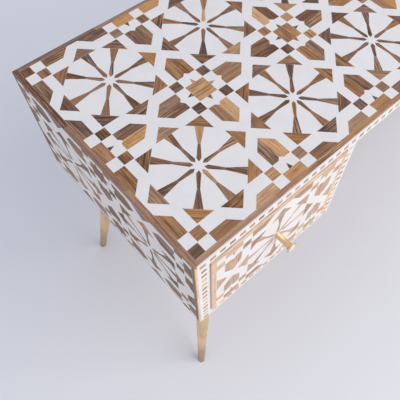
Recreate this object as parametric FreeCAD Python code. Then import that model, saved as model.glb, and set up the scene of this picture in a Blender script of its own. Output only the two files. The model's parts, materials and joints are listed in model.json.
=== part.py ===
import FreeCAD, Part
import os
from math import atan2, cos, degrees, radians, sin, sqrt
from FreeCAD import Vector

# Inlaid writing desk with two drawer cases, sizes in millimetres.
# X runs along the desk, Y from front to back and Z up.
# The origin is on the floor under the middle of the outline, knobs included.

# Top: rosettes stand one module apart, and the field ends on the lines between them,
# or in front where the border covers a little of the pattern
module_length = 225.0
module_depth = 248.0
modules_long = 6
modules_deep = 2
desk_height = 750.0
inlay_thickness = 4.0
top_core_thickness = 20.0
side_border = 10.0
back_border = 10.0
front_border = 10.0
front_overlap = 2.0
border_strip_length = 170.0
band_thickness = 2.0

# Dashes let into the white bands on the front edges
dash_pitch = 20.5
level_dash_width = 12.0
level_dash_height = 10.0
stile_dash_width = 11.0
stile_dash_height = 9.0

# Drawer cases under the two ends of the top
opening_width = 326.0
opening_height = 239.0
outer_side_thickness = 24.0
inner_side_thickness = 24.0
case_bottom_thickness = 27.0
case_back_thickness = 12.0

# Inlaid skins on the two ends of the desk
end_module_height = 212.0
end_top_border = 10.0
end_bottom_border = 3.0
end_side_border = 10.0
corner_bead = 3.0

# Drawers
drawer_gap = 1.0
drawer_proud = 3.0
drawer_module_width = 225.0
lipping_width = 9.0
lipping_side_width = 11.0
front_core_thickness = 16.0
box_side_gap = 3.0
box_side_thickness = 12.0
box_back_thickness = 12.0
box_back_drop = 12.0
box_bottom_thickness = 6.0
box_bottom_lift = 10.0
groove_depth = 6.0
runner_width = 20.0
runner_height = 8.0
guide_height = 14.0
runner_setback = 15.0
guide_clearance = 0.8
run_clearance = 0.3
kicker_height = 12.0
kick_clearance = 1.0
stop_width = 60.0
stop_depth = 20.0
stop_height = 24.0

# Knob, the disc in its face and its screw
knob_length = 39.0
knob_foot_radius = 7.4
knob_foot_length = 2.0
knob_stem_radius = 6.2
knob_head_radius = 11.8
knob_rim_thickness = 3.0
knob_flare_length = 8.0
knob_disc_radius = 9.4
knob_disc_thickness = 1.0
screw_radius = 2.0
screw_clearance = 0.2
screw_head_radius = 4.0
screw_head_thickness = 2.5
screw_bite = 12.0

# Splayed round legs
leg_top_radius = 22.0
leg_foot_radius = 9.0
leg_top_inset = 88.0
foot_end_inset = 6.0
foot_edge_inset = 19.0
plate_size = 84.0
plate_thickness = 3.0
plate_screw_inset = 12.0
stud_radius = 4.0
stud_length = 18.0
stud_clearance = 0.3
plate_screw_radius = 2.0
plate_screw_length = 14.0
plate_screw_head_radius = 4.0
plate_screw_head_thickness = 2.0

# Inlay pieces
head_height = 25.5
stem_root_half = 8.4
stem_waist_half = 2.7
stem_waist_radius = 44.5
stem_bulge_half = 4.4
stem_bulge_radius = 15.0
stem_point_radius = 8.5
tooth_length = 12.0
tooth_half = 4.6
notch_depth = 6.0
notch_half = 6.5
corner_gap = 1.0
inlay_joint = 0.15
smallest_tile = 20.0
whole_tooth_share = 0.9

# Gaps of each inlaid face: arrow tip to the star line, small square to the arrow that points at it,
# and hexagon tip to the rosette line, along the face and across it
top_tip_gap = 5.9
top_square_gap = 0.5
top_hexagon_gap_along = 11.5
top_hexagon_gap_across = 23.0
end_tip_gap = 5.8
end_square_gap = 3.6
end_hexagon_gap_along = 24.0
end_hexagon_gap_across = 14.0
drawer_tip_gap = 9.3
drawer_square_gap = 1.0
drawer_hexagon_gap_along = 21.5
drawer_hexagon_gap_across = 15.5

# Derived places
field_length = modules_long * module_length
lattice_depth = modules_deep * module_depth
field_depth = lattice_depth - front_overlap
desk_length = field_length + 2 * side_border
desk_depth = band_thickness + front_border + field_depth + back_border
half_length = desk_length / 2
front_y = (drawer_proud + knob_length - desk_depth) / 2
back_y = front_y + desk_depth
core_front_y = front_y + band_thickness
field_front_y = core_front_y + front_border
field_back_y = back_y - back_border
inlay_z = desk_height - inlay_thickness
core_z = inlay_z - top_core_thickness
opening_z = core_z - opening_height
case_z = opening_z - case_bottom_thickness
skin_x = half_length - inlay_thickness
outer_x = skin_x - outer_side_thickness
inner_x = outer_x - opening_width
knee_x = inner_x - inner_side_thickness
case_back_y = back_y - case_back_thickness
case_middle_x = (outer_x + inner_x) / 2

drawer_face_y = front_y - drawer_proud
core_face_y = drawer_face_y + inlay_thickness
front_rear_y = core_face_y + front_core_thickness
front_half_width = opening_width / 2 - drawer_gap
field_half_width = front_half_width - lipping_side_width
front_low_z = opening_z + drawer_gap
front_high_z = core_z - drawer_gap
field_low_z = front_low_z + lipping_width
field_high_z = front_high_z - lipping_width
drawer_middle_z = (field_low_z + field_high_z) / 2
box_half_width = opening_width / 2 - box_side_gap
box_inner_half = box_half_width - box_side_thickness
box_low_z = opening_z + runner_height + run_clearance
box_high_z = core_z - kicker_height - kick_clearance
box_rear_y = case_back_y - stop_depth - run_clearance
panel_low_z = box_low_z + box_bottom_lift
panel_high_z = panel_low_z + box_bottom_thickness

end_low_z = case_z + end_bottom_border
end_high_z = desk_height - end_top_border
end_middle_z = (end_low_z + end_high_z) / 2
bead_back_y = front_y + corner_bead
end_front_y = front_y + end_side_border
end_back_y = back_y - end_side_border
plate_z = case_z - plate_thickness


# Small helpers

def box(x_range, y_range, z_range):
    low = Vector(x_range[0], y_range[0], z_range[0])
    return Part.makeBox(x_range[1] - low.x, y_range[1] - low.y, z_range[1] - low.z, low)


def across(side, near, far):
    """Range of X between two distances from the middle, on the left (-1) or right (+1)."""
    return sorted((side * near, side * far))


def save(name, shapes):
    shape = shapes[0] if len(shapes) == 1 else Part.makeCompound(shapes)
    for solid in shape.Solids:
        if not solid.isValid():
            raise ValueError("solid of " + name + " is not valid")
    shape.exportStep("parts/" + name + ".step")
    print(name, len(shape.Solids), "solids")


def butted_strips(x_range, y_range, z_range, axis):
    """A border strip made of equal lengths butted end to end along X (0), Y (1) or Z (2)."""
    ranges = [x_range, y_range, z_range]
    low, high = ranges[axis]
    count = max(1, round((high - low) / border_strip_length))
    step = (high - low) / count
    strips = []
    for index in range(count):
        ranges[axis] = (low + index * step, low + (index + 1) * step)
        strips.append(box(*ranges))
    return strips


# Flat outlines: points go anticlockwise in the face's own directions

def area_of(points):
    pairs = zip(points, points[1:] + points[:1])
    return sum(p[0] * q[1] - q[0] * p[1] for p, q in pairs) / 2


def turned(points, angle, centre):
    c = cos(radians(angle))
    s = sin(radians(angle))
    return [(centre[0] + c * a - s * b, centre[1] + s * a + c * b) for a, b in points]


def clip_half_plane(points, axis, limit, sign):
    """Part of an outline where sign * coordinate is no more than sign * limit."""
    kept = []
    for p, q in zip(points, points[1:] + points[:1]):
        p_room = sign * (limit - p[axis])
        q_room = sign * (limit - q[axis])
        if p_room >= 0:
            kept.append(p)
        if p_room * q_room < 0:
            t = p_room / (p_room - q_room)
            kept.append((p[0] + t * (q[0] - p[0]), p[1] + t * (q[1] - p[1])))
    return kept


def clip_to_field(points, field):
    for axis in (0, 1):
        points = clip_half_plane(points, axis, field[axis][0], -1)
        points = clip_half_plane(points, axis, field[axis][1], 1)
    return points


def without_needless_points(points):
    """Drop points that repeat or lie on a straight line between their neighbours."""
    tolerance = 1e-6
    kept = []
    count = len(points)
    for index in range(count):
        before = points[index - 1]
        here = points[index]
        after = points[(index + 1) % count]
        first = (here[0] - before[0], here[1] - before[1])
        second = (after[0] - here[0], after[1] - here[1])
        if abs(first[0] * second[1] - first[1] * second[0]) > tolerance:
            kept.append(here)
    return kept


def drawn_in(points, distance):
    """The outline moved inwards on all sides, which leaves the resin joint round a tile."""
    lines = []
    for p, q in zip(points, points[1:] + points[:1]):
        length = sqrt((q[0] - p[0]) ** 2 + (q[1] - p[1]) ** 2)
        along = ((q[0] - p[0]) / length, (q[1] - p[1]) / length)
        lines.append(((p[0] - along[1] * distance, p[1] + along[0] * distance), along))
    moved = []
    for (p, u), (q, v) in zip(lines[-1:] + lines[:-1], lines):
        cross = u[0] * v[1] - u[1] * v[0]
        t = ((q[0] - p[0]) * v[1] - (q[1] - p[1]) * v[0]) / cross
        moved.append((p[0] + t * u[0], p[1] + t * u[1]))
    return moved


# The inlay pattern

class InlaidFace:
    """A flat inlaid field: its middle, its directions, its modules and its gaps."""

    def __init__(self, origin, along, up, inward, field, modules, starts, gaps):
        self.origin = origin
        self.along = along
        self.up = up
        self.inward = inward
        self.field = field
        self.modules = modules
        self.starts = starts
        tip_gap, square_gap, along_gap, across_gap = gaps
        self.tip_radius = min(modules) / 2 - tip_gap
        self.slant = degrees(atan2(modules[1], modules[0]))
        tip_sum = self.tip_radius * (cos(radians(self.slant)) + sin(radians(self.slant)))
        self.star_reach = (sum(modules) / 2 - tip_sum) / 2 - square_gap
        self.hexagon_tips = (modules[0] / 2 - along_gap, modules[1] / 2 - across_gap)

    def place(self, point):
        return self.origin + self.along * point[0] + self.up * point[1]

    def wire(self, points):
        corners = [self.place(point) for point in points]
        return Part.makePolygon(corners + corners[:1])

    def prism(self, outline, holes=()):
        face = Part.Face([self.wire(outline)] + list(holes))
        return face.extrude(self.inward * inlay_thickness)

    def centres(self, offset):
        """Lattice points in and around the field, moved by a share of a module each way."""
        for a in self.steps(0, offset):
            for b in self.steps(1, offset):
                yield a, b

    def steps(self, axis, offset):
        module = self.modules[axis]
        low, high = self.field[axis]
        value = self.starts[axis] + offset * module
        while value > low - module:
            value -= module
        while value < high + module:
            yield value
            value += module


def rosette_outlines(face, centre):
    """Eight arrows round a point: a head, an outer stem and a pointed inner stem each.

    The tips of the four slanting arrows lie on the diagonals of the module, while the short sides
    of their heads stay level with its edges.
    """
    head = [(-head_height, -head_height), (0, 0), (-head_height, head_height)]
    root = [(-head_height, -stem_root_half), (-head_height, stem_root_half)]
    waist = [(stem_waist_radius, stem_waist_half), (stem_waist_radius, -stem_waist_half)]
    point = [(stem_bulge_radius, stem_bulge_half), (stem_point_radius, 0),
             (stem_bulge_radius, -stem_bulge_half)]
    slants = (face.slant, 180 - face.slant, 180 + face.slant, 360 - face.slant)
    for turn in range(8):
        heading = slants[turn // 2] if turn % 2 else 45 * turn
        tip = turned([(face.tip_radius, 0)], heading, centre)[0]
        low_root, high_root = turned(root, 45 * turn, tip)
        middle = ((low_root[0] + high_root[0]) / 2, (low_root[1] + high_root[1]) / 2)
        lean = degrees(atan2(middle[1] - centre[1], middle[0] - centre[0]))
        high_waist, low_waist = turned(waist, lean, centre)
        yield "heads", turned(head, 45 * turn, tip)
        yield "stems", [low_waist, low_root, high_root, high_waist]
        yield "stems", [low_waist, high_waist] + turned(point, lean, centre)


def star_outlines(face, centre):
    """A square with four small squares at its corners, a tooth and a long hexagon on each side.

    The hexagons are split lengthwise and notched at the end near the square, but a half that lies
    along the edge of the field has no notch.
    """
    reach = face.star_reach
    half = reach / 2
    near = half - corner_gap / 2
    far = half + corner_gap / 2
    start = reach + corner_gap
    square = [(-near, -near), (near, -near), (near, near), (-near, near)]
    small = [(far, far), (reach, far), (reach, reach), (far, reach)]
    tooth = [(near, -tooth_half), (near + tooth_length, 0), (near, tooth_half)]
    yield "squares", turned(square, 0, centre)
    for quarter in range(4):
        tip = face.hexagon_tips[quarter % 2]
        side = 1 - quarter % 2
        if min(abs(centre[side] - edge) for edge in face.field[side]) < notch_half:
            root = [(start, half), (start, 0)]
        else:
            root = [(start, half), (start, notch_half), (start + notch_depth, 0)]
        half_hexagon = [(tip, 0), (tip - half, half)] + root
        other_half = [(a, -b) for a, b in reversed(half_hexagon)]
        yield "squares", turned(small, 90 * quarter, centre)
        yield "teeth", turned(tooth, 90 * quarter, centre)
        yield "hexagons", turned(half_hexagon, 90 * quarter, centre)
        yield "hexagons", turned(other_half, 90 * quarter, centre)


def tile_outlines(face):
    """All tiles of a face by kind, cut off at the edges of the field."""
    tiles = {"heads": [], "stems": [], "squares": [], "hexagons": []}
    whole = [piece for centre in face.centres(0) for piece in rosette_outlines(face, centre)]
    whole += [piece for centre in face.centres(0.5) for piece in star_outlines(face, centre)]
    for kind, points in whole:
        cut = without_needless_points(clip_to_field(points, face.field))
        left = area_of(cut) if len(cut) > 2 else 0
        tooth = kind == "teeth"
        if tooth and left > whole_tooth_share * area_of(points):
            tiles["squares"].append(drawn_in(cut, inlay_joint / 2))
        if not tooth and left > smallest_tile:
            tiles[kind].append(drawn_in(cut, inlay_joint / 2))
    return tiles


def resin_plate(face, tiles, round_holes=()):
    """The white plate that fills the field between the tiles."""
    (a_low, a_high), (b_low, b_high) = face.field
    outline = [(a_low, b_low), (a_high, b_low), (a_high, b_high), (a_low, b_high)]
    holes = [face.wire(points[::-1]) for kind in tiles for points in tiles[kind]]
    return face.prism(outline, holes + list(round_holes))


def tile_solids(face, tiles, kinds):
    return [face.prism(points) for kind in kinds for points in tiles[kind]]


# White bands with wooden dashes on the front edges

def dash_places(low, high):
    count = max(1, round((high - low) / dash_pitch))
    step = (high - low) / count
    return [low + (index + 0.5) * step for index in range(count)]


def dashed_band(x_range, z_range, lengthwise):
    """A band on the front edge and its row of dashes, along X (0) or Z (2)."""
    y_range = (front_y, core_front_y)
    band = box(x_range, y_range, z_range)
    middle_x = sum(x_range) / 2
    middle_z = sum(z_range) / 2
    half_x = (level_dash_width if lengthwise == 0 else stile_dash_width) / 2
    half_z = (level_dash_height if lengthwise == 0 else stile_dash_height) / 2
    dashes = []
    for place in dash_places(*(x_range if lengthwise == 0 else z_range)):
        x = place if lengthwise == 0 else middle_x
        z = place if lengthwise == 2 else middle_z
        dashes.append(box((x - half_x, x + half_x), y_range, (z - half_z, z + half_z)))
    return band.cut(Part.makeCompound(dashes)), dashes


# The top

def make_top():
    long_range = (-skin_x, skin_x)
    save("top_core", [box(long_range, (core_front_y, back_y), (core_z, inlay_z))])
    layer = (inlay_z, desk_height)
    field_x = half_length - side_border
    for side, name in ((-1, "left"), (1, "right")):
        edge = across(side, field_x, half_length)
        save("top_border_" + name, butted_strips(edge, (core_front_y, back_y), layer, 1))
    inner_range = (-field_x, field_x)
    front = butted_strips(inner_range, (core_front_y, field_front_y), layer, 0)
    back = butted_strips(inner_range, (field_back_y, back_y), layer, 0)
    save("top_border_front", front)
    save("top_border_back", back)

    middle_y = (field_front_y + field_back_y) / 2
    face = InlaidFace(
        Vector(0, middle_y, desk_height), Vector(1, 0, 0), Vector(0, 1, 0), Vector(0, 0, -1),
        ((-field_length / 2, field_length / 2), (-field_depth / 2, field_depth / 2)),
        (module_length, module_depth),
        ((module_length - field_length) / 2, (field_depth - module_depth) / 2),
        (top_tip_gap, top_square_gap, top_hexagon_gap_along, top_hexagon_gap_across))
    tiles = tile_outlines(face)
    save("top_resin", [resin_plate(face, tiles)])
    save("top_arrow_heads", tile_solids(face, tiles, ["heads"]))
    save("top_arrow_stems", tile_solids(face, tiles, ["stems"]))
    save("top_squares", tile_solids(face, tiles, ["squares"]))
    save("top_hexagons", tile_solids(face, tiles, ["hexagons"]))

    band, dashes = dashed_band(long_range, (core_z, desk_height), 0)
    save("top_band_resin", [band])
    save("top_band_dashes", dashes)


# The drawer cases

def leg_places(side):
    """Top and foot points of the front and back leg on one side."""
    for name, edge_y, inward in (("front", front_y, 1), ("back", back_y, -1)):
        top = Vector(side * (half_length - leg_top_inset), edge_y + inward * leg_top_inset, plate_z)
        foot = Vector(side * (half_length - foot_end_inset), edge_y + inward * foot_edge_inset, 0)
        yield name, top, foot


def plate_screw_places(top):
    offset = plate_size / 2 - plate_screw_inset
    return [top + Vector(a * offset, b * offset, 0) for a in (-1, 1) for b in (-1, 1)]


def upright_cylinder(place, radius, low, high):
    return Part.makeCylinder(radius, high - low, Vector(place.x, place.y, low))


def make_case(side, name):
    depth = (core_front_y, back_y)
    height = (case_z, core_z)
    save(name + "_outer_side", [box(across(side, outer_x, skin_x), depth, height)])
    save(name + "_inner_side", [box(across(side, knee_x, inner_x), depth, height)])

    between = across(side, inner_x, outer_x)
    floor = box(between, depth, (case_z, opening_z))
    stud_top = plate_z + stud_length + stud_clearance
    screw_top = plate_z + plate_screw_length
    for leg, top, foot in leg_places(side):
        floor = floor.cut(upright_cylinder(top, stud_radius + stud_clearance, case_z, stud_top))
        for place in plate_screw_places(top):
            floor = floor.cut(upright_cylinder(place, plate_screw_radius, case_z, screw_top))
    save(name + "_case_bottom", [floor])
    save(name + "_case_back", [box(between, (case_back_y, back_y), (opening_z, core_z))])

    stile, stile_dashes = dashed_band(across(side, outer_x, skin_x), height, 2)
    inner, inner_dashes = dashed_band(across(side, knee_x, inner_x), height, 2)
    rail, rail_dashes = dashed_band(between, (case_z, opening_z), 0)
    save(name + "_case_band_resin", [stile, inner, rail])
    save(name + "_case_band_dashes", stile_dashes + inner_dashes + rail_dashes)


def make_end(side, name):
    layer = across(side, skin_x, half_length)
    whole_z = (case_z, inlay_z)
    strips = butted_strips(layer, (front_y, bead_back_y), whole_z, 2)
    strips += butted_strips(layer, (bead_back_y, end_front_y), whole_z, 2)
    strips += butted_strips(layer, (end_back_y, back_y), whole_z, 2)
    strips += butted_strips(layer, (end_front_y, end_back_y), (end_high_z, inlay_z), 1)
    strips += butted_strips(layer, (end_front_y, end_back_y), (case_z, end_low_z), 1)
    save(name + "_end_border", strips)

    half_depth = (end_back_y - end_front_y) / 2
    half_height = (end_high_z - end_low_z) / 2
    module_along = 2 * half_depth / modules_deep
    face = InlaidFace(
        Vector(side * half_length, (end_front_y + end_back_y) / 2, end_middle_z),
        Vector(0, 1, 0), Vector(0, 0, 1), Vector(-side, 0, 0),
        ((-half_depth, half_depth), (-half_height, half_height)),
        (module_along, end_module_height), (module_along / 2 - half_depth, 0),
        (end_tip_gap, end_square_gap, end_hexagon_gap_along, end_hexagon_gap_across))
    tiles = tile_outlines(face)
    save(name + "_end_resin", [resin_plate(face, tiles)])
    save(name + "_end_tiles", tile_solids(face, tiles, list(tiles)))


def make_drawer_carriers():
    """Runners with guide lips, kickers that stop a drawer tipping, and stops at the back."""
    guide_thickness = box_side_gap - guide_clearance
    runner_y = front_rear_y + runner_setback
    runners = []
    kickers = []
    stops = []
    for side in (-1, 1):
        for wall, inward in ((-opening_width / 2, 1), (opening_width / 2, -1)):
            wall_x = side * case_middle_x + wall
            lip = sorted((wall_x, wall_x + inward * guide_thickness))
            foot = sorted((wall_x, wall_x + inward * runner_width))
            run = (runner_y, case_back_y)
            tread = box(foot, run, (opening_z, opening_z + runner_height))
            guide = box(lip, run, (opening_z, opening_z + runner_height + guide_height))
            runners.append(tread.fuse(guide).removeSplitter())
            kickers.append(box(foot, run, (core_z - kicker_height, core_z)))
        middle = side * case_middle_x
        across_stop = (middle - stop_width / 2, middle + stop_width / 2)
        rise = (panel_high_z, panel_high_z + stop_height)
        stops.append(box(across_stop, (case_back_y - stop_depth, case_back_y), rise))
    save("drawer_runners", runners)
    save("drawer_kickers", kickers)
    save("drawer_stops", stops)


# The drawers

def knob_solid():
    """A stem that flares into a flat round head, turned about the Y axis and pointing forwards."""
    flare_end = knob_length - knob_rim_thickness
    flare_start = flare_end - knob_flare_length
    rim = knob_rim_thickness / 2
    head_flat = knob_head_radius - rim
    widening = head_flat - knob_stem_radius

    def at(radius, distance):
        return Vector(radius, -distance, 0)

    halfway = sqrt(0.5)
    flare_middle = at(knob_stem_radius + widening * (1 - halfway), flare_start + knob_flare_length * halfway)
    edges = [
        Part.LineSegment(at(0, 0), at(knob_foot_radius, 0)),
        Part.LineSegment(at(knob_foot_radius, 0), at(knob_foot_radius, knob_foot_length)),
        Part.LineSegment(at(knob_foot_radius, knob_foot_length), at(knob_stem_radius, knob_foot_length)),
        Part.LineSegment(at(knob_stem_radius, knob_foot_length), at(knob_stem_radius, flare_start)),
        Part.Arc(at(knob_stem_radius, flare_start), flare_middle, at(head_flat, flare_end)),
        Part.Arc(at(head_flat, flare_end), at(knob_head_radius, flare_end + rim), at(head_flat, knob_length)),
        Part.LineSegment(at(head_flat, knob_length), at(0, knob_length)),
        Part.LineSegment(at(0, knob_length), at(0, 0))]
    profile = Part.Face(Part.Wire([edge.toShape() for edge in edges]))
    return profile.revolve(Vector(0, 0, 0), Vector(0, 1, 0), 360)


def make_drawer(side, name):
    middle = side * case_middle_x

    def span(low, high):
        return (middle + low, middle + high)

    knob_place = Vector(middle, drawer_face_y, drawer_middle_z)
    hole_radius = screw_radius + screw_clearance
    through = Part.makeCylinder(hole_radius, front_rear_y - drawer_face_y, knob_place, Vector(0, 1, 0))

    field_z = (field_low_z, field_high_z)
    core = box(span(-field_half_width, field_half_width), (core_face_y, front_rear_y), field_z)
    groove_y = front_rear_y - groove_depth
    panel_half = box_inner_half + groove_depth
    panel = box(span(-panel_half, panel_half), (groove_y, box_rear_y), (panel_low_z, panel_high_z))
    save(name + "_drawer_front_core", [core.cut(through).cut(panel)])
    save(name + "_drawer_bottom", [panel])

    whole = (drawer_face_y, front_rear_y)
    lipping = []
    for low, high in ((front_low_z, field_low_z), (field_high_z, front_high_z)):
        lipping.append(box(span(-front_half_width, front_half_width), whole, (low, high)))
    for edge in (span(-front_half_width, -field_half_width), span(field_half_width, front_half_width)):
        lipping.append(box(edge, whole, field_z).cut(panel))
    save(name + "_drawer_lipping", lipping)

    half_height = (field_high_z - field_low_z) / 2
    face = InlaidFace(
        knob_place, Vector(1, 0, 0), Vector(0, 0, 1), Vector(0, 1, 0),
        ((-field_half_width, field_half_width), (-half_height, half_height)),
        (drawer_module_width, 2 * half_height), (0, 0),
        (drawer_tip_gap, drawer_square_gap, drawer_hexagon_gap_along, drawer_hexagon_gap_across))
    tiles = tile_outlines(face)
    save(name + "_drawer_resin", [resin_plate(face, tiles).cut(through)])
    save(name + "_drawer_tiles", tile_solids(face, tiles, list(tiles)))

    run = (front_rear_y, box_rear_y)
    for wall, edge in (("left", span(-box_half_width, -box_inner_half)),
                       ("right", span(box_inner_half, box_half_width))):
        board = box(edge, run, (box_low_z, box_high_z))
        save(name + "_drawer_" + wall + "_side", [board.cut(panel)])
    back_y_range = (box_rear_y - box_back_thickness, box_rear_y)
    back_height = (panel_high_z, box_high_z - box_back_drop)
    save(name + "_drawer_back", [box(span(-box_inner_half, box_inner_half), back_y_range, back_height)])

    bore = Part.makeCylinder(hole_radius, screw_bite + screw_clearance, Vector(0, 0, 0), Vector(0, -1, 0))
    knob_face = Vector(0, -knob_length, 0)
    disc = Part.makeCylinder(knob_disc_radius, knob_disc_thickness, knob_face, Vector(0, 1, 0))
    knob = knob_solid().cut(bore).cut(disc)
    knob.translate(knob_place)
    disc.translate(knob_place)
    save(name + "_knob", [knob])
    save(name + "_knob_disc", [disc])

    screw_tip = Vector(middle, drawer_face_y - screw_bite, drawer_middle_z)
    shank = Part.makeCylinder(screw_radius, front_rear_y - screw_tip.y, screw_tip, Vector(0, 1, 0))
    head_seat = Vector(middle, front_rear_y, drawer_middle_z)
    head = Part.makeCylinder(screw_head_radius, screw_head_thickness, head_seat, Vector(0, 1, 0))
    save(name + "_knob_screw", [shank.fuse(head).removeSplitter()])


# The legs

def leg_solid(top, foot):
    """A splayed tapered leg cut level at the floor and under its plate, with a stud on top."""
    spare = leg_top_radius
    run = foot - top
    length = run.Length
    along = Vector(run).normalize()
    taper = (leg_foot_radius - leg_top_radius) / length
    long_top = top - along * spare
    cone = Part.makeCone(
        leg_top_radius - taper * spare, leg_foot_radius + taper * spare, length + 2 * spare, long_top, along)
    reach = max(abs(run.x), abs(run.y)) + 2 * leg_top_radius
    slab = box((top.x - reach, top.x + reach), (top.y - reach, top.y + reach), (foot.z, top.z))
    stud = upright_cylinder(top, stud_radius, top.z, top.z + stud_length)
    return cone.common(slab).fuse(stud).removeSplitter()


def countersunk_screw(place):
    """A wood screw with its flat head level with the underside of the plate."""
    rim_z = plate_z + plate_screw_head_thickness
    down = Vector(place.x, place.y, plate_z)
    head = Part.makeCone(plate_screw_head_radius, plate_screw_radius, plate_screw_head_thickness, down)
    shank = upright_cylinder(place, plate_screw_radius, rim_z, plate_z + plate_screw_length)
    return head.fuse(shank).removeSplitter()


def make_legs():
    plates = []
    screws = []
    for side, name in ((-1, "left"), (1, "right")):
        for end, top, foot in leg_places(side):
            save(name + "_" + end + "_leg", [leg_solid(top, foot)])
            half = plate_size / 2
            plate = box((top.x - half, top.x + half), (top.y - half, top.y + half), (plate_z, case_z))
            plate = plate.cut(upright_cylinder(top, stud_radius + stud_clearance, plate_z, case_z))
            for place in plate_screw_places(top):
                screw = countersunk_screw(place)
                plate = plate.cut(screw)
                screws.append(screw)
            plates.append(plate)
    save("leg_plates", plates)
    save("leg_plate_screws", screws)


os.makedirs("parts", exist_ok=True)
make_top()
make_drawer_carriers()
for desk_side, side_name in ((-1, "left"), (1, "right")):
    make_case(desk_side, side_name)
    make_end(desk_side, side_name)
    make_drawer(desk_side, side_name)
make_legs()
print("desk", desk_length, desk_depth, desk_height)
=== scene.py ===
# %% [markdown]
# # An inlaid writing desk
#
# The desk is a board on two drawer cases. Wooden tiles set in white resin cover its top, its ends
# and its drawer fronts, and it stands on slender brass legs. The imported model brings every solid
# at its real size and place, so nothing here is fitted by eye. This script gives the solids their
# looks: wooden pieces are copied so that each tile has a tone and a grain of its own, turned brass
# is spun afresh with smooth curves, and the rest gets procedural materials.

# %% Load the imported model
import json
import random
from math import cos, pi, radians, sin

import bmesh
import bpy
from mathutils import Euler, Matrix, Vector


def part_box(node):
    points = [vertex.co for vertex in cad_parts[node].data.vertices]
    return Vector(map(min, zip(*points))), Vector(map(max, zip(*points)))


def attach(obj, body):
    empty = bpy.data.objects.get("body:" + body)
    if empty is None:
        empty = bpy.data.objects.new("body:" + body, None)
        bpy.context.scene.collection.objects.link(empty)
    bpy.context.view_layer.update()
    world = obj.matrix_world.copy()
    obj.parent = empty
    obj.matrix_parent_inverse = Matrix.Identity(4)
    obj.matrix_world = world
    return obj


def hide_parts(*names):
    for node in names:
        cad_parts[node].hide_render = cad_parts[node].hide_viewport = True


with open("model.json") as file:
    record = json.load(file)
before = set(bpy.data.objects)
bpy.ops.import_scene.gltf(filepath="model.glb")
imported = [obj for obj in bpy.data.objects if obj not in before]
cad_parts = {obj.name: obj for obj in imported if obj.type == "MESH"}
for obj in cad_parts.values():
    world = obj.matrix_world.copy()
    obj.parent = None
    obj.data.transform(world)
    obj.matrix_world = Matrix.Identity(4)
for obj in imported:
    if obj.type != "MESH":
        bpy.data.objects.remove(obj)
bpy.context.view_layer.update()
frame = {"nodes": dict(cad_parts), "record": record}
nodes = frame["nodes"]
bodies = frame["record"]["behaviour"]["bodies"]
body_of = {node: body for body, members in bodies.items() for node in members}
scene = bpy.context.scene
MM = 0.001
SIDES = ("left", "right")

# %% [markdown]
# ## Helpers for materials
#
# Colours are easiest to pick as sRGB hex values, the way a screen shows them, but shaders
# calculate with linear light, so one function converts them. A second function adds a node: it sets
# the node's properties, and each of its sockets is either given a value or linked to an output. A
# third starts a material with an empty node tree.

# %% Colour and node helpers
def linear(hex_colour):
    """An sRGB hex colour as linear red, green, blue and alpha."""
    channels = []
    for start in (1, 3, 5):
        value = int(hex_colour[start:start + 2], 16) / 255
        channels.append(value / 12.92 if value <= 0.04045 else ((value + 0.055) / 1.055) ** 2.4)
    return (*channels, 1.0)


def add(tree, kind, inputs=None, **settings):
    """Add a node to a tree, set its properties, and fill or link its sockets."""
    node = tree.nodes.new(kind)
    for name, value in settings.items():
        setattr(node, name, value)
    for name, value in (inputs or {}).items():
        if isinstance(value, bpy.types.NodeSocket):
            tree.links.new(value, node.inputs[name])
        else:
            node.inputs[name].default_value = value
    return node


def empty_material(name):
    """A new material with an empty node tree."""
    material = bpy.data.materials.new(name)
    material.use_nodes = True
    material.node_tree.nodes.clear()
    return material, material.node_tree


print("white resin #f1f0ee is", [round(value, 3) for value in linear("#f1f0ee")])

# %% [markdown]
# ## The wood
#
# The tiles are offcuts of oiled hardwood, sanded flush with the resin. The eye sees four things: a
# tone that jumps from tile to tile, soft bands along the grain, darker growth lines between them,
# and fine fibres with pores. One material can give all tiles this look if each tile tells it four
# things: its tone, its warmth, how strong its figure is, and where a point lies along and across its
# own grain. These are stored on the mesh as attributes. Noise that is stretched along the grain makes
# bands, lines and fibres, and a colour ramp turns tone plus figure into colour.

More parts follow.
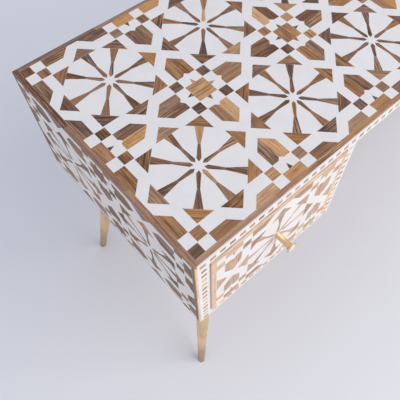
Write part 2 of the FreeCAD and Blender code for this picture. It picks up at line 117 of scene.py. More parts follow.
# %% Wood material
def oiled_wood(name, tones, line_width=1.8 * MM, line_length=80 * MM):
    """Oiled wood whose colours run from the darkest to the lightest tone of a list."""
    material, tree = empty_material(name)
    tone = add(tree, "ShaderNodeAttribute", attribute_name="tone").outputs["Fac"]
    figure = add(tree, "ShaderNodeAttribute", attribute_name="figure").outputs["Fac"]
    warmth = add(tree, "ShaderNodeAttribute", attribute_name="warmth").outputs["Fac"]
    grain = add(tree, "ShaderNodeAttribute", attribute_name="grain").outputs["Vector"]

    # Growth lines wander to and fro across the grain, by a few line widths
    wander = add(tree, "ShaderNodeTexNoise", {"Vector": grain, "Scale": 1 / line_length, "Detail": 1.0})
    wavy = add(tree, "ShaderNodeVectorMath", {
        0: wander.outputs["Color"], 1: (0, 3 * line_width, 0), 2: grain}, operation="MULTIPLY_ADD")

    # Soft bands, about three growth lines wide
    band_scale = (0.6 / line_length, 0.35 / line_width, 0.2 / line_width)
    bands_at = add(tree, "ShaderNodeMapping", {"Vector": wavy.outputs["Vector"], "Scale": band_scale})
    bands = add(tree, "ShaderNodeTexNoise", {
        "Vector": bands_at.outputs["Vector"], "Scale": 1.0, "Detail": 2.0, "Distortion": 0.5})
    soft = add(tree, "ShaderNodeMapRange", {
        "Value": bands.outputs["Fac"], "From Min": 0.3, "From Max": 0.7,
        "To Min": -0.11, "To Max": 0.11}, clamp=False)

    # Dark growth lines where a second noise is high
    line_scale = (1 / line_length, 1 / line_width, 0.5 / line_width)
    lines_at = add(tree, "ShaderNodeMapping", {"Vector": wavy.outputs["Vector"], "Scale": line_scale})
    lines = add(tree, "ShaderNodeTexNoise", {
        "Vector": lines_at.outputs["Vector"], "Scale": 1.0, "Detail": 3.0, "Roughness": 0.6,
        "Distortion": 0.6})
    dark = add(tree, "ShaderNodeMapRange", {
        "Value": lines.outputs["Fac"], "From Min": 0.42, "From Max": 0.62,
        "To Min": 0.11, "To Max": -0.4})
    marks = add(tree, "ShaderNodeMath", {
        0: soft.outputs["Result"], 1: dark.outputs["Result"]}, operation="ADD")

    # Fibres about half a millimetre apart, drawn more than twice as coarse so that they show
    fibre_width = 1.3 * MM
    fibre_scale = (0.06 / fibre_width, 1 / fibre_width, 1 / fibre_width)
    fibres_at = add(tree, "ShaderNodeMapping", {"Vector": grain, "Scale": fibre_scale})
    fibres = add(tree, "ShaderNodeTexNoise", {
        "Vector": fibres_at.outputs["Vector"], "Scale": 1.0, "Detail": 2.0, "Roughness": 0.5})
    fine = add(tree, "ShaderNodeMapRange", {
        "Value": fibres.outputs["Fac"], "From Min": 0.3, "From Max": 0.7,
        "To Min": -0.24, "To Max": 0.24}, clamp=False)
    all_marks = add(tree, "ShaderNodeMath", {
        0: marks.outputs[0], 1: fine.outputs["Result"]}, operation="ADD")
    shade = add(tree, "ShaderNodeMath", {
        0: all_marks.outputs[0], 1: figure, 2: tone}, operation="MULTIPLY_ADD")
    ramp = add(tree, "ShaderNodeValToRGB", {"Fac": shade.outputs[0]})
    stops = ramp.color_ramp.elements
    stops[0].color = linear(tones[0])
    stops[1].color = linear(tones[-1])
    for index in range(1, len(tones) - 1):
        stops.new(index / (len(tones) - 1)).color = linear(tones[index])

    # Pores: short dark dashes where the fibre noise is lowest
    pores = add(tree, "ShaderNodeMapRange", {
        "Value": fibres.outputs["Fac"], "From Min": 0.26, "From Max": 0.38,
        "To Min": 0.6, "To Max": 1.0})
    porous = add(tree, "ShaderNodeMix", {
        "Factor": 1.0, "A": ramp.outputs["Color"], "B": pores.outputs["Result"]},
        data_type="RGBA", blend_type="MULTIPLY")
    colour = add(tree, "ShaderNodeHueSaturation", {
        "Color": porous.outputs["Result"], "Saturation": warmth})

    # An oil finish is satin, a little glossier where the wood is dense, and shows the fibres as relief
    gloss = add(tree, "ShaderNodeMapRange", {
        "Value": bands.outputs["Fac"], "From Min": 0.3, "From Max": 0.7,
        "To Min": 0.52, "To Max": 0.42})
    bump = add(tree, "ShaderNodeBump", {
        "Height": fibres.outputs["Fac"], "Strength": 0.25, "Distance": 0.15 * MM})
    shader = add(tree, "ShaderNodeBsdfPrincipled", {
        "Base Color": colour.outputs["Color"], "Roughness": gloss.outputs["Result"], "IOR": 1.5,
        "Normal": bump.outputs["Normal"]})
    add(tree, "ShaderNodeOutputMaterial", {"Surface": shader.outputs["BSDF"]})
    return material


# Each list runs from the darkest boards to the lightest. Strips are greyer than tiles in their light
# boards, and frames end in a peach tone for beads and lippings. That peach end and the pale peach list
# for the front are painted light, for pieces that face the strong front lamp.
HARDWOOD = ["#4d3222", "#735038", "#9c7352", "#c49464", "#e2b077"]
STRIPS = HARDWOOD[:2] + ["#9c745a", "#c09774", "#dbb48a"]
FRAME = HARDWOOD[:3] + ["#dfb892", "#f6d7b4"]
PEACHY = ["#86634e", "#ab856a", "#c9a487", "#dcb998", "#e8c8a6"]
PLAIN = ["#86623f", "#a07a50", "#b68f63", "#c8a47a", "#d8b88f"]
tile_wood = oiled_wood("oiled_hardwood_tiles", HARDWOOD, 2.6 * MM)
# Painted light: the front wood is paler and peachier than the top's, for faces turned to the front lamp
painted_lit_front_wood = oiled_wood("oiled_hardwood_front_painted_lit", PEACHY)
border_wood = oiled_wood("oiled_hardwood_strips", STRIPS, 2.2 * MM, 140 * MM)
frame_wood = oiled_wood("oiled_hardwood_frames", FRAME, 2.2 * MM, 140 * MM)
board_wood = oiled_wood("mango_wood_boards", HARDWOOD, 6 * MM, 400 * MM)
box_wood = oiled_wood("plain_drawer_wood", PLAIN, 6 * MM, 350 * MM)
print("six woods made")

# %% [markdown]
# ## The resin, brass and steel
#
# White resin is poured round the tiles, sanded and waxed. It is not quite even: faint clouds where
# the pour was deeper, and a few grey specks of sanding dust. The brass of the legs and knobs is
# solid and satin, with a tarnish that drifts over it, and the legs turn darker towards the floor:
# painted shade at the feet. The mounting plates and screws are zinc-plated steel.

# %% Resin, brass and steel materials
def white_resin():
    """Poured resin: white with faint clouds and specks, and the soft gloss of wax."""
    material, tree = empty_material("waxed_white_resin")
    place = add(tree, "ShaderNodeTexCoord").outputs["Object"]
    clouds = add(tree, "ShaderNodeTexNoise", {
        "Vector": place, "Scale": 1 / (45 * MM), "Detail": 3.0, "Roughness": 0.6})
    cloudy = add(tree, "ShaderNodeMix", {
        "Factor": clouds.outputs["Fac"], "A": linear("#e9e7e4"), "B": linear("#f7f5f3")},
        data_type="RGBA")
    # Dust is finer than a tenth of a millimetre, and is drawn coarser so that it shows
    dust = add(tree, "ShaderNodeTexNoise", {"Vector": place, "Scale": 1 / (1.6 * MM), "Detail": 1.0})
    specks = add(tree, "ShaderNodeMapRange", {
        "Value": dust.outputs["Fac"], "From Min": 0.7, "From Max": 0.76,
        "To Min": 0.0, "To Max": 0.35})
    colour = add(tree, "ShaderNodeMix", {
        "Factor": specks.outputs["Result"], "A": cloudy.outputs["Result"], "B": linear("#b9b1a6")},
        data_type="RGBA")
    gloss = add(tree, "ShaderNodeMapRange", {
        "Value": clouds.outputs["Fac"], "From Min": 0.3, "From Max": 0.7,
        "To Min": 0.48, "To Max": 0.58})
    sanding = add(tree, "ShaderNodeTexNoise", {"Vector": place, "Scale": 1 / (14 * MM), "Detail": 2.0})
    bump = add(tree, "ShaderNodeBump", {
        "Height": sanding.outputs["Fac"], "Strength": 0.12, "Distance": 0.3 * MM})
    shader = add(tree, "ShaderNodeBsdfPrincipled", {
        "Base Color": colour.outputs["Result"], "Roughness": gloss.outputs["Result"], "IOR": 1.5,
        "Normal": bump.outputs["Normal"]})
    add(tree, "ShaderNodeOutputMaterial", {"Surface": shader.outputs["BSDF"]})
    return material


def satin_metal(name, bright, dull, patch, roughness, floor_shade_height=0.0):
    """Metal with a tarnish that drifts over it in tall patches, and darker towards the floor: painted
    shade at the feet.
    """
    material, tree = empty_material(name)
    place = add(tree, "ShaderNodeTexCoord").outputs["Object"]
    tall_patch = (1 / patch, 1 / patch, 0.3 / patch)
    patches = add(tree, "ShaderNodeMapping", {"Vector": place, "Scale": tall_patch})
    tarnish = add(tree, "ShaderNodeTexNoise", {
        "Vector": patches.outputs["Vector"], "Scale": 1.0, "Detail": 4.0, "Roughness": 0.6})
    drift = add(tree, "ShaderNodeMapRange", {
        "Value": tarnish.outputs["Fac"], "From Min": 0.35, "From Max": 0.75,
        "To Min": 0.0, "To Max": 0.6})
    amount = drift.outputs["Result"]
    # Painted shade: over the given height above the floor the colour turns darker, towards the dull
    # brass
    if floor_shade_height:
        height = add(tree, "ShaderNodeSeparateXYZ", {"Vector": place})
        floor_shade = add(tree, "ShaderNodeMapRange", {
            "Value": height.outputs["Z"], "From Min": 0.0, "From Max": floor_shade_height,
            "To Min": 0.9, "To Max": 0.0})
        tarnish_and_floor_shade = add(tree, "ShaderNodeMath", {0: amount, 1: floor_shade.outputs["Result"]}, operation="ADD")
        amount = tarnish_and_floor_shade.outputs[0]
    colour = add(tree, "ShaderNodeMix", {
        "Factor": amount, "A": linear(bright), "B": linear(dull)}, data_type="RGBA")
    gloss = add(tree, "ShaderNodeMapRange", {
        "Value": tarnish.outputs["Fac"], "From Min": 0.3, "From Max": 0.7,
        "To Min": roughness - 0.06, "To Max": roughness + 0.08})
    polish = add(tree, "ShaderNodeTexNoise", {"Vector": place, "Scale": 1 / (1.2 * MM), "Detail": 2.0})
    bump = add(tree, "ShaderNodeBump", {
        "Height": polish.outputs["Fac"], "Strength": 0.08, "Distance": 0.1 * MM})
    shader = add(tree, "ShaderNodeBsdfPrincipled", {
        "Base Color": colour.outputs["Result"], "Metallic": 1.0, "Roughness": gloss.outputs["Result"],
        "Normal": bump.outputs["Normal"]})
    add(tree, "ShaderNodeOutputMaterial", {"Surface": shader.outputs["BSDF"]})
    return material


resin = white_resin()
# The legs turn darker over their lowest 130 mm: painted shade where they meet the floor
leg_brass = satin_metal("satin_brass_legs", "#fbdcaa", "#b8a080", 26 * MM, 0.38, 130 * MM)
knob_brass = satin_metal("satin_brass_knobs", "#e4cba4", "#cba97e", 9 * MM, 0.5)
zinc = satin_metal("zinc_plated_steel", "#c6c8cb", "#9c9fa4", 6 * MM, 0.4)
print("resin, brass and zinc made")

# %% [markdown]
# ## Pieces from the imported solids
#
# A node such as the top's arrow heads holds many solids in one mesh, listed one after the other as
# triangles. A solid is complete when each of its edges has met two triangles, and that is how the
# next function finds where one tile ends and the next begins.

# %% Split a node into solids
MICRONS = 1e6


def solids_of(node):
    """The solids of a node, each as a list of corner points and a list of faces."""
    mesh = nodes[node].data
    solids = []
    points = {}
    faces = []
    open_edges = set()
    for polygon in mesh.polygons:
        corners = []
        for index in polygon.vertices:
            key = tuple(round(value * MICRONS) for value in mesh.vertices[index].co)
            corners.append(points.setdefault(key, len(points)))
        faces.append(corners)
        for pair in zip(corners, corners[1:] + corners[:1]):
            open_edges ^= {frozenset(pair)}
        if not open_edges:
            solids.append(([Vector(key) / MICRONS for key in points], faces))
            points = {}
            faces = []
    return solids


def corners_of(points):
    """Lowest and highest corner of a list of points."""
    low = Vector(min(point[axis] for point in points) for axis in range(3))
    high = Vector(max(point[axis] for point in points) for axis in range(3))
    return low, high


print("the top has", len(solids_of("top_hexagons")), "half hexagons")

# %% [markdown]
# ## Wooden pieces
#
# No two tiles are cut from the same piece of wood. One material for each tile would be hundreds of
# materials, so each tile is built again in its own small mesh and carries its tone and its grain as
# attributes. The grain runs along the longest edge, as a maker would cut it. The arrises of the desk
# are eased there too, as sandpaper leaves them.

# %% Build wooden pieces
# Points nearer than this to a plane lie on it, and faces that meet at a smaller angle are one face
NEAR = 0.01 * MM
FLAT = radians(1)
# How far chance takes a tile from its tone, how strong its figure may be, the tone at which no figure
# would be left, how warm its colour may be, and how many metres of timber the tiles are cut from
TONE_SPREAD = 0.06
FIGURES = (0.5, 0.7, 0.9, 1.1, 1.4)
FIGURELESS = 1.35
WARMTHS = (0.88, 1.16)
TIMBER = 50


def outer_edges(mesh, planes):
    """Edges that lie on two of a list of (axis, place) planes: the arrises of a body."""
    def on(edge, plane):
        axis, place = plane
        return all(abs(vert.co[axis] - place) < NEAR for vert in edge.verts)

    return [edge for edge in mesh.edges if sum(on(edge, plane) for plane in planes) > 1]


def lay_grain(mesh, chance, tone, strength):
    """Write tone, warmth, strength of figure and place in the grain on one solid's points.

    Each solid is cut from elsewhere in the timber, and dark wood has the strongest figure.
    """
    tones = mesh.verts.layers.float.new("tone")
    warmths = mesh.verts.layers.float.new("warmth")
    figures = mesh.verts.layers.float.new("figure")
    grains = mesh.verts.layers.float_vector.new("grain")
    low, high = corners_of([vert.co for vert in mesh.verts])
    size = high - low
    thin = Vector((0, 0, 0))
    thin[min(range(3), key=lambda axis: size[axis])] = 1.0
    arrises = [edge for edge in mesh.edges if edge.calc_face_angle(0) > FLAT]
    longest = max(arrises, key=lambda edge: edge.calc_length())
    along = (longest.verts[1].co - longest.verts[0].co).normalized()
    across = thin.cross(along)
    elsewhere = Vector([chance.uniform(0, TIMBER) for axis in range(3)])
    figure = strength * chance.choice(FIGURES) * (FIGURELESS - tone)
    warmth = chance.uniform(*WARMTHS)
    for vert in mesh.verts:
        place = vert.co - low
        vert[tones] = tone
        vert[warmths] = warmth
        vert[figures] = figure
        vert[grains] = Vector((place.dot(along), place.dot(across), place.dot(thin))) + elsewhere


def wooden(node, material, tones, planes=(), easing=0.6 * MM, batch=0, strength=1.0):
    """A copy of a node in which each solid has a tone picked from (share, tone) pairs.

    The batch number picks one of a dozen random draws, and strength is that of the figure.
    """
    whole = bmesh.new()
    for index, (points, faces) in enumerate(solids_of(node)):
        chance = random.Random(f"{node} {index} {batch}")
        solid = bmesh.new()
        verts = [solid.verts.new(point) for point in points]
        for corners in faces:
            solid.faces.new([verts[corner] for corner in corners])
        bmesh.ops.dissolve_limit(
            solid, angle_limit=FLAT, verts=solid.verts[:], edges=solid.edges[:])
        pairs = tones(points) if callable(tones) else tones
        tone = chance.choices([pair[1] for pair in pairs], [pair[0] for pair in pairs])[0]
        lay_grain(solid, chance, tone + chance.uniform(-TONE_SPREAD, TONE_SPREAD), strength)
        edges = outer_edges(solid, planes)
        if edges:
            bmesh.ops.bevel(
                solid, geom=edges, offset=easing, segments=2, profile=0.5, affect="EDGES")
        loose = bpy.data.meshes.new("loose")
        solid.to_mesh(loose)
        solid.free()
        whole.from_mesh(loose)
        bpy.data.meshes.remove(loose)
    mesh = bpy.data.meshes.new("wood_" + node)
    whole.to_mesh(mesh)
    whole.free()
    return place_piece("wood_" + node, mesh, material, node)


def place_piece(name, mesh, material, node):
    """Put a mesh in the scene as the piece that stands for a node."""
    mesh.materials.append(material)
    piece = bpy.data.objects.new(name, mesh)
    scene.collection.objects.link(piece)
    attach(piece, body_of[node])
    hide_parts(node)
    return piece


def coat(node, material):
    """Give a node that keeps its own mesh a material."""
    for material_slot in nodes[node].material_slots:
        material_slot.link = "OBJECT"
        material_slot.material = material


print("helpers for wooden pieces ready")

# %% [markdown]
# ## The top
#
# Four kinds of tile make the top's pattern. Arrow heads are middling brown, their stems a little
# lighter, and the long hexagons are sawn in two and glued up from unlike boards. A star's middle
# square is nearly always honey-coloured, its small squares are darker, and the tiny teeth on its
# sides are the darkest of all. A list of tones for single tiles would be long and would fit one
# pattern only, so tones are picked at random from shares, with a fixed seed for each tile, and the
# desk looks the same each time. The batch number says which of a dozen draws is used. Strips of
# several tones, butted end to end, border the top, and a white band with dashes covers its front
# edge.

# %% Tiles, borders and resin of the top
SMALLEST_MIDDLE_SQUARE = 30 * MM
SMALLEST_SMALL_SQUARE = 15 * MM


def square_tones(points):
    """Shares of tones for a middle square, a small square or a tooth, by its size."""
    low, high = corners_of(points)
    width = max(high - low)
    if width > SMALLEST_MIDDLE_SQUARE:
        return [(5, 0.78), (2, 0.6)]
    if width > SMALLEST_SMALL_SQUARE:
        return [(5, 0.19), (5, 0.27), (4, 0.52), (2, 0.76)]
    return [(3, 0.2), (1, 0.4), (1, 0.8)]


head_tones = [(3, 0.27), (5, 0.4), (4, 0.5), (2, 0.64)]
stem_tones = [(3, 0.28), (5, 0.4), (4, 0.51), (1, 0.78)]
hexagon_tones = [(5, 0.3), (6, 0.44), (5, 0.57), (4, 0.88)]
strip_tones = [(2, 0.3), (3, 0.46), (3, 0.63)]
band_dash_tones = [(1, 0.38), (2, 0.45), (1, 0.52)]

desk_low, desk_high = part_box("top_band_resin")
back_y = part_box("top_border_back")[1].y
case_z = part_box("left_outer_side")[0].z
half_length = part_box("top_border_right")[1].x
desk_planes = [
    (0, -half_length), (0, half_length),
    (1, desk_low.y), (1, back_y),
    (2, desk_high.z), (2, case_z)]

wooden("top_arrow_heads", tile_wood, head_tones, batch=9)
wooden("top_arrow_stems", tile_wood, stem_tones, batch=9)
wooden("top_squares", tile_wood, square_tones, batch=8)
wooden("top_hexagons", tile_wood, hexagon_tones, batch=1)
for place, batch in (("left", 10), ("right", 10), ("front", 9), ("back", 9)):
    wooden("top_border_" + place, border_wood, strip_tones, desk_planes, batch=batch)
# The dashes of the front band are in the paler front wood: painted light
wooden("top_band_dashes", painted_lit_front_wood, band_dash_tones)
wooden("top_core", board_wood, [(1, 0.48)], desk_planes, strength=0.5)
coat("top_resin", resin)
coat("top_band_resin", resin)
print("top dressed, desk box", [round(value, 3) for value in desk_low], round(half_length, 3))

# %% [markdown]
# ## The drawer cases and ends
#
# Each case is four boards. Its outer side carries an inlaid skin framed by thin dark strips, with a
# pale bead at the front corner, its paleness painted light for its face towards the front lamp. Its
# front edges carry white bands with a row of wooden dashes, some dark and some nearly as pale as the
# resin, in the front wood that is painted paler for the front lamp. The boards themselves are plain
# brown wood. They are made as the tiles are, because only the width of the growth lines and the
# strength of the figure differ.

# %% Cases, ends and drawer carriers
def end_strip_tones(points):
    """A pale tone for the bead at the front corner, painted light for its lit front face, and dark ones
    for the other strips of the frame.
    """
    low, high = corners_of(points)
    at_front = low.y < desk_low.y + 1 * MM
    # Painted light: the bead's pale tone stands for its front face under the front lamp
    return [(1, 0.95)] if at_front else [(2, 0.28), (2, 0.4)]


board_tones = [(1, 0.45), (1, 0.5)]
end_tile_tones = [(3, 0.26), (4, 0.38), (3, 0.5), (1, 0.7)]
case_dash_tones = [(3, 0.26), (2, 0.55), (4, 0.92)]
carrier_tones = [(1, 0.4), (1, 0.55)]
for side in SIDES:
    for board in ("outer_side", "inner_side", "case_bottom", "case_back"):
        wooden(side + "_" + board, board_wood, board_tones, desk_planes, strength=0.5)
    wooden(side + "_end_border", frame_wood, end_strip_tones, desk_planes)
    wooden(side + "_end_tiles", tile_wood, end_tile_tones)
    wooden(side + "_case_band_dashes", painted_lit_front_wood, case_dash_tones)
    coat(side + "_end_resin", resin)
    coat(side + "_case_band_resin", resin)
for carrier in ("runners", "kickers", "stops"):
    wooden("drawer_" + carrier, box_wood, carrier_tones, strength=0.6)
print("cases, ends and drawer carriers dressed")

# %% [markdown]
# ## The drawers
#
# A drawer front is a core board with an inlaid skin and a lipping of pale strips round it. Behind it
# is a plain box of lighter wood. The tiles on the fronts are warmer and paler than those on top, and
# the lipping is pale: painted light for the fronts, which face the strong front lamp. The lipping
# stands proud and is handled most, so its arrises are rounder than the others and catch the light.

# %% Drawer fronts and boxes
# Pale tones for the lipping, and the paler front wood of the tiles: painted light for faces turned to
# the front lamp
lipping_tones = [(1, 0.84), (1, 0.96)]
lipping_easing = 1.6 * MM
front_tile_tones = [(2, 0.36), (4, 0.52), (3, 0.64), (1, 0.82)]
box_tones = [(1, 0.45), (1, 0.6)]
for side in SIDES:
    low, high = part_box(side + "_drawer_lipping")
    front_planes = [(0, low.x), (0, high.x), (1, low.y), (2, low.z), (2, high.z)]
    wooden(
        side + "_drawer_lipping", frame_wood, lipping_tones, front_planes, lipping_easing, strength=0.7)
    wooden(side + "_drawer_tiles", painted_lit_front_wood, front_tile_tones)
    coat(side + "_drawer_resin", resin)
    for board in ("front_core", "left_side", "right_side", "back", "bottom"):
        wooden(side + "_drawer_" + board, box_wood, box_tones, strength=0.6)
print("drawers dressed")

# %% [markdown]
# ## Turned brass
#
# Knobs and legs come off a lathe, so they are made the same way here: a profile of radii and heights
# is spun round an axis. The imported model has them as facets. Spun afresh in finer steps, with smooth
# faces between sharp edges, the brass gets long even highlights.

# %% Spin a profile
LATHE_STEPS = 64
BRASS_SHARP = 40


def spun(profile, segments):
    """A closed surface: (radius, height) points spun round Z, capped at both ends."""
    mesh = bmesh.new()
    rings = []
    for radius, height in profile:
        ring = []
        for index in range(segments):
            angle = 2 * pi * index / segments
            ring.append(mesh.verts.new((radius * cos(angle), radius * sin(angle), height)))
        rings.append(ring)
    for lower, upper in zip(rings, rings[1:]):
        for index in range(segments):
            after = (index + 1) % segments
            mesh.faces.new((lower[index], lower[after], upper[after], upper[index]))
    mesh.faces.new(rings[0][::-1])
    mesh.faces.new(rings[-1])
    return mesh


def arc(centre, radii, start, end, steps):
    """Points of an elliptic arc in a profile, angles in degrees from the outward direction."""
    points = []
    for index in range(steps + 1):
        angle = radians(start + (end - start) * index / steps)
        points.append((centre[0] + radii[0] * cos(angle), centre[1] + radii[1] * sin(angle)))
    return points


def smooth_mesh(name, mesh, sharp_angle):
    """Turn a bmesh into a mesh with smooth faces that keep edges over an angle sharp."""
    for face in mesh.faces:
        face.smooth = True
    for edge in mesh.edges:
        edge.smooth = edge.calc_face_angle(0) < radians(sharp_angle)
    made = bpy.data.meshes.new(name)
    mesh.to_mesh(made)
    mesh.free()
    return made


print("an arc of four steps has", len(arc((0, 0), (1, 1), 0, 90, 4)), "points")

# %% [markdown]
# ## Knobs
#
# A knob has a short foot, a straight stem and a flared head with a round rim, and a white disc is let
# into its face. Its profile is joined from straight lines and elliptic arcs. Brass and disc are two
# spins, because they are two materials. The length, the head and the disc are measured on the packed
# model, so that the new knob fits where the old one was.

# %% Knobs
knob_foot_radius = 7.4 * MM
knob_foot_length = 2.0 * MM
knob_foot_easing = 0.5 * MM
knob_stem_radius = 6.2 * MM
knob_rim = 3.0 * MM
knob_flare = 8.0 * MM
disc_easing = 0.2 * MM
curve_steps = 10
to_front = Euler((radians(90), 0, 0)).to_matrix()
for side in SIDES:
    low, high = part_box(side + "_knob")
    disc_low, disc_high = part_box(side + "_knob_disc")
    disc_radius = (disc_high.x - disc_low.x) / 2
    disc_floor = high.y - disc_high.y
    head_radius = (high.x - low.x) / 2
    length = high.y - low.y
    flat_radius = head_radius - knob_rim / 2
    flare_end = length - knob_rim
    flare_width = flat_radius - knob_stem_radius
    profile = [
        (knob_foot_radius, 0),
        (knob_foot_radius, knob_foot_length - knob_foot_easing),
        (knob_foot_radius - knob_foot_easing, knob_foot_length),
        (knob_stem_radius, knob_foot_length)]
    flare_middle = (flat_radius, flare_end - knob_flare)
    flare = arc(flare_middle, (flare_width, knob_flare), 180, 90, curve_steps)
    rim_middle = (flat_radius, flare_end + knob_rim / 2)
    rim = arc(rim_middle, (knob_rim / 2, knob_rim / 2), -90, 90, curve_steps)
    profile += flare + rim[1:] + [(disc_radius, length), (disc_radius, disc_floor)]
    disc = [
        (disc_radius, disc_floor),
        (disc_radius, length - disc_easing),
        (disc_radius - disc_easing, length)]
    foot = Vector(((low.x + high.x) / 2, high.y, (low.z + high.z) / 2))
    for node, outline, material in (("knob", profile, knob_brass), ("knob_disc", disc, resin)):
        mesh = spun(outline, LATHE_STEPS)
        for vert in mesh.verts:
            vert.co = to_front @ vert.co + foot
        name = "turned_" + side + "_" + node
        place_piece(name, smooth_mesh(name, mesh, BRASS_SHARP), material, side + "_" + node)
print("two knobs turned, head", round(head_radius / MM, 1), "mm in radius")

# %% [markdown]
# ## Legs
#
# A leg is a straight taper that leans outwards. If it were only spun and tilted, its ends would
# slant, so it is spun too long and then cut level at the floor and under its plate. The rim of the
# foot is rounded, because a sharp one would scratch the floor.

# %% Legs
leg_top_radius = 22.0 * MM
leg_foot_radius = 9.0 * MM
foot_rounding = 2.0 * MM
plates = [corners_of(points) for points, faces in solids_of("leg_plates")]
feet = {mount["name"]: Vector(mount["pos_m"]) for mount in frame["record"]["mounts"]}


def leaning_leg(top, foot):
    """A taper spun round the line from top to foot, cut level at both ends."""
    run = foot - top
    spare = leg_top_radius
    taper = (leg_foot_radius - leg_top_radius) / run.length
    profile = [
        (leg_top_radius - taper * spare, -spare),
        (leg_foot_radius + taper * spare, run.length + spare)]
    mesh = spun(profile, LATHE_STEPS)
    lean = run.to_track_quat("Z", "Y").to_matrix()
    for vert in mesh.verts:
        vert.co = lean @ vert.co + top
    for place, keep_below in ((top, True), (foot, False)):
        everything = mesh.verts[:] + mesh.edges[:] + mesh.faces[:]
        cut = bmesh.ops.bisect_plane(
            mesh, geom=everything, plane_co=place, plane_no=(0, 0, 1), clear_outer=keep_below,
            clear_inner=not keep_below)
        rim = [part for part in cut["geom_cut"] if isinstance(part, bmesh.types.BMEdge)]
        bmesh.ops.contextual_create(mesh, geom=rim)
    bmesh.ops.recalc_face_normals(mesh, faces=mesh.faces[:])
    foot_rim = [
        edge for edge in mesh.edges if all(abs(vert.co.z - foot.z) < NEAR for vert in edge.verts)]
    bmesh.ops.bevel(
        mesh, geom=foot_rim, offset=foot_rounding, segments=4, profile=0.5, affect="EDGES")
    return mesh


def lower_middle(box):
    """The middle of the lower face of a box."""
    low, high = box
    return Vector(((low.x + high.x) / 2, (low.y + high.y) / 2, low.z))


for side in SIDES:
    for end in ("front", "back"):
        node = side + "_" + end + "_leg"
        foot = feet[side + "_" + end + "_foot"]
        middles = [lower_middle(box) for box in plates]
        top = min(middles, key=lambda middle: (middle.xy - foot.xy).length)
        leg = smooth_mesh("leg", leaning_leg(top, foot), BRASS_SHARP)
        place_piece("turned_" + node, leg, leg_brass, node)
print("four legs turned,", round((top - foot).length / MM), "mm long")

# %% [markdown]
# ## Plates and screws
#
# Each leg hangs on a square steel plate with four countersunk screws, and each knob is held by a
# screw whose head shows inside the drawer. The screw heads get a cross recess, cut with a boolean
# from two crossed bars, because a plain disc would look like a rivet.

# %% Plates and screws
SCREW_STEPS = 24
SCREW_SHARP = 30


def cross_cutter(width, length, depth):
    """Two crossed bars, joined in one mesh, that cut the recess of a screw head."""
    half = width / 2
    arm = length / 2
    outline = []
    for quarter in range(4):
        turned_x = cos(quarter * pi / 2)
        turned_y = sin(quarter * pi / 2)
        for x, y in ((arm, -half), (arm, half), (half, half)):
            outline.append((turned_x * x - turned_y * y, turned_y * x + turned_x * y))
    mesh = bmesh.new()
    lower = [mesh.verts.new((x, y, -depth)) for x, y in outline]
    upper = [mesh.verts.new((x, y, depth)) for x, y in outline]
    mesh.faces.new(lower[::-1])
    mesh.faces.new(upper)
    for index in range(len(outline)):
        after = (index + 1) % len(outline)
        mesh.faces.new((lower[index], lower[after], upper[after], upper[index]))
    return mesh


def screw_mesh(profile, recess):
    """A spun screw with its head at height 0, pointing up, and a cross recess in the head."""
    turned = smooth_mesh("screw", spun(profile, SCREW_STEPS), SCREW_SHARP)
    bars = smooth_mesh("cutter", cross_cutter(*recess), SCREW_SHARP)
    body = bpy.data.objects.new("screw", turned)
    cutter = bpy.data.objects.new("cutter", bars)
    for part in (body, cutter):
        scene.collection.objects.link(part)
    cut = body.modifiers.new("recess", "BOOLEAN")
    cut.object = cutter
    cut.solver = "EXACT"
    bpy.context.view_layer.update()
    evaluated = body.evaluated_get(bpy.context.evaluated_depsgraph_get())
    made = bpy.data.meshes.new_from_object(evaluated)
    for part in (body, cutter):
        bpy.data.objects.remove(part)
    return made


def several(name, mesh, places, turn):
    """One mesh that holds a copy of a mesh at each place."""
    whole = bmesh.new()
    for place in places:
        before = len(whole.verts)
        whole.from_mesh(mesh)
        whole.verts.ensure_lookup_table()
        for vert in whole.verts[before:]:
            vert.co = turn @ vert.co + place
    made = bpy.data.meshes.new(name)
    whole.to_mesh(made)
    whole.free()
    return made


coat("leg_plates", zinc)
wood_screw_recess = (1.0 * MM, 4.4 * MM, 1.3 * MM)
tip_start = 0.8
tip_width = 0.3
upright = Euler((0, 0, 0)).to_matrix()
screw_boxes = [corners_of(points) for points, faces in solids_of("leg_plate_screws")]
low, high = screw_boxes[0]
head_radius = (high.x - low.x) / 2
shank_radius = head_radius / 2
length = high.z - low.z
profile = [
    (head_radius, 0),
    (shank_radius, head_radius - shank_radius),
    (shank_radius, tip_start * length),
    (tip_width * shank_radius, length)]
wood_screw = screw_mesh(profile, wood_screw_recess)
places = [lower_middle(box) for box in screw_boxes]
screws = several("plate_screws", wood_screw, places, upright)
place_piece("plate_screws", screws, zinc, "leg_plate_screws")

machine_screw_recess = (1.1 * MM, 4.6 * MM, 1.2 * MM)
head_thickness = 2.5 * MM
head_rounding = 1.2 * MM
rounding_steps = 4
for side in SIDES:
    low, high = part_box(side + "_knob_screw")
    head_radius = (high.x - low.x) / 2
    length = high.y - low.y
    rounding_middle = (head_radius - head_rounding, head_rounding)
    profile = arc(rounding_middle, (head_rounding, head_rounding), -90, 0, rounding_steps) + [
        (head_radius, head_thickness),
        (head_radius / 2, head_thickness),
        (head_radius / 2, length)]
    machine_screw = screw_mesh(profile, machine_screw_recess)
    middle = Vector(((low.x + high.x) / 2, high.y, (low.z + high.z) / 2))
    screw = several("knob_screw", machine_screw, [middle], to_front)
    place_piece("machined_" + side + "_knob_screw", screw, zinc, side + "_knob_screw")
print(len(places), "plate screws and two knob screws made")

# %% [markdown]
# ## Floor and light
#
# The desk stands on a plain pale floor, which keeps its shadow and fades into a backdrop of the same
# tone further out. The backdrop is what the eye sees, and what brass and steel mirror, but it lights
# nothing. The main light is a large soft panel in front and to the right, so the drawer front is the
# brightest face and the left end lies in shade. A pale sky, cool overhead and warmer at the horizon,
# fills in the rest, and a weak warm panel lifts the left end. Their strength is plain: a colour comes
# out about as it is written.

# %% Floor, sky and lamps
BACKDROP = "#dcdde4"


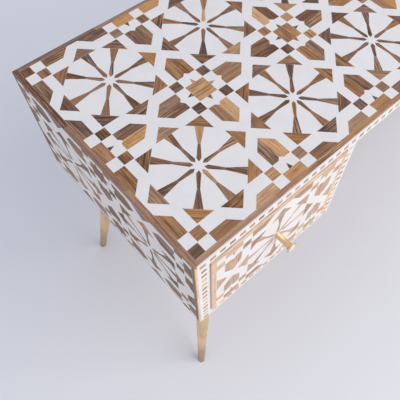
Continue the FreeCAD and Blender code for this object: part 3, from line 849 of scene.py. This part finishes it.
def seen_rays(tree):
    """An output that is 1 for rays that show the background: to the eye, off metal, through glass."""
    rays = add(tree, "ShaderNodeLightPath")
    mirrored = add(tree, "ShaderNodeMath", {
        0: rays.outputs["Is Camera Ray"], 1: rays.outputs["Is Glossy Ray"]}, operation="MAXIMUM")
    seen = add(tree, "ShaderNodeMath", {
        0: mirrored.outputs[0], 1: rays.outputs["Is Transmission Ray"]}, operation="MAXIMUM")
    return seen.outputs[0]


def studio_floor():
    """A pale floor that fades into the backdrop, so that no edge of it shows from any side."""
    reach = 8.0
    fade_start = 1.3
    fade_end = 2.8
    mottle_scale = 1.5
    mesh = bpy.data.meshes.new("floor")
    corners = [(-reach, -reach, 0), (reach, -reach, 0), (reach, reach, 0), (-reach, reach, 0)]
    mesh.from_pydata(corners, [], [(0, 1, 2, 3)])
    material, tree = empty_material("pale_floor")
    place = add(tree, "ShaderNodeTexCoord").outputs["Object"]
    mottle = add(tree, "ShaderNodeTexNoise", {"Vector": place, "Scale": mottle_scale, "Detail": 3.0})
    colour = add(tree, "ShaderNodeMix", {
        "Factor": mottle.outputs["Fac"], "A": linear("#eceef2"), "B": linear("#f0f2f6")},
        data_type="RGBA")
    near = add(tree, "ShaderNodeBsdfPrincipled", {
        "Base Color": colour.outputs["Result"], "Roughness": 0.8})
    far = add(tree, "ShaderNodeEmission", {"Color": linear(BACKDROP)})
    distance = add(tree, "ShaderNodeVectorMath", {0: place}, operation="LENGTH")
    fade = add(tree, "ShaderNodeMapRange", {
        "Value": distance.outputs["Value"], "From Min": fade_start, "From Max": fade_end},
        interpolation_type="SMOOTHSTEP")
    faded = add(tree, "ShaderNodeMath", {
        0: fade.outputs["Result"], 1: seen_rays(tree)}, operation="MULTIPLY")
    surface = add(tree, "ShaderNodeMixShader", {
        "Fac": faded.outputs[0], 1: near.outputs["BSDF"], 2: far.outputs["Emission"]})
    add(tree, "ShaderNodeOutputMaterial", {"Surface": surface.outputs["Shader"]})
    mesh.materials.append(material)
    floor = bpy.data.objects.new("floor", mesh)
    scene.collection.objects.link(floor)


def soft_panel(name, place, aim, size, watts, colour):
    """A square lamp that looks from its place at its aim."""
    lamp = bpy.data.lights.new(name, "AREA")
    lamp.shape = "SQUARE"
    lamp.size = size
    lamp.energy = watts
    lamp.color = linear(colour)[:3]
    panel = bpy.data.objects.new(name, lamp)
    panel.location = place
    panel.rotation_euler = (Vector(aim) - Vector(place)).to_track_quat("-Z", "Y").to_euler()
    scene.collection.objects.link(panel)


def pale_sky(strength):
    """Light from all round, hidden from the eye behind the backdrop."""
    world = bpy.data.worlds.new("studio")
    world.use_nodes = True
    tree = world.node_tree
    tree.nodes.clear()
    direction = add(tree, "ShaderNodeTexCoord").outputs["Generated"]
    height = add(tree, "ShaderNodeSeparateXYZ", {"Vector": direction})
    rise = add(tree, "ShaderNodeMapRange", {
        "Value": height.outputs["Z"], "From Min": 0.0, "From Max": 0.7})
    colour = add(tree, "ShaderNodeMix", {
        "Factor": rise.outputs["Result"], "A": linear("#d6d0cb"), "B": linear("#dfe6fa")},
        data_type="RGBA")
    light = add(tree, "ShaderNodeBackground", {"Color": colour.outputs["Result"], "Strength": strength})
    backdrop = add(tree, "ShaderNodeBackground", {"Color": linear(BACKDROP), "Strength": 1.0})
    sky = add(tree, "ShaderNodeMixShader", {
        "Fac": seen_rays(tree), 1: light.outputs["Background"], 2: backdrop.outputs["Background"]})
    add(tree, "ShaderNodeOutputWorld", {"Surface": sky.outputs["Shader"]})
    scene.world = world


studio_floor()
soft_panel(
    "front_panel", place=(1.65, -3.7, 3.3), aim=(-0.2, 0, 0.5), size=5.0, watts=180, colour="#fff9f0")
soft_panel(
    "left_fill", place=(-2.6, -0.2, 0.8), aim=(-0.7, 0, 0.6), size=1.2, watts=2.5, colour="#ffdcb4")
pale_sky(strength=0.72)
print("floor, sky and", len(bpy.data.lights), "lamps set")

# %% [markdown]
# ## The camera
#
# The camera stands over the left front corner and looks down along the drawer front. Its place was
# worked out from the spacing of the rosettes on the top. The frame is a little to the left of the
# lens axis, which the shift takes care of.

# %% Camera
camera = bpy.data.cameras.new("camera")
camera.sensor_width = 36.0
camera.lens = 43.0
camera.shift_x = -0.08
camera_place = bpy.data.objects.new("camera", camera)
camera_place.location = Vector((-833.1, -445.0, 1410.0)) * MM
camera_place.rotation_euler = (radians(29.34), radians(-1.91), radians(-42.64))
scene.collection.objects.link(camera_place)
scene.camera = camera_place
scene.view_settings.view_transform = "Standard"
print("camera at", [round(value, 3) for value in camera_place.location])
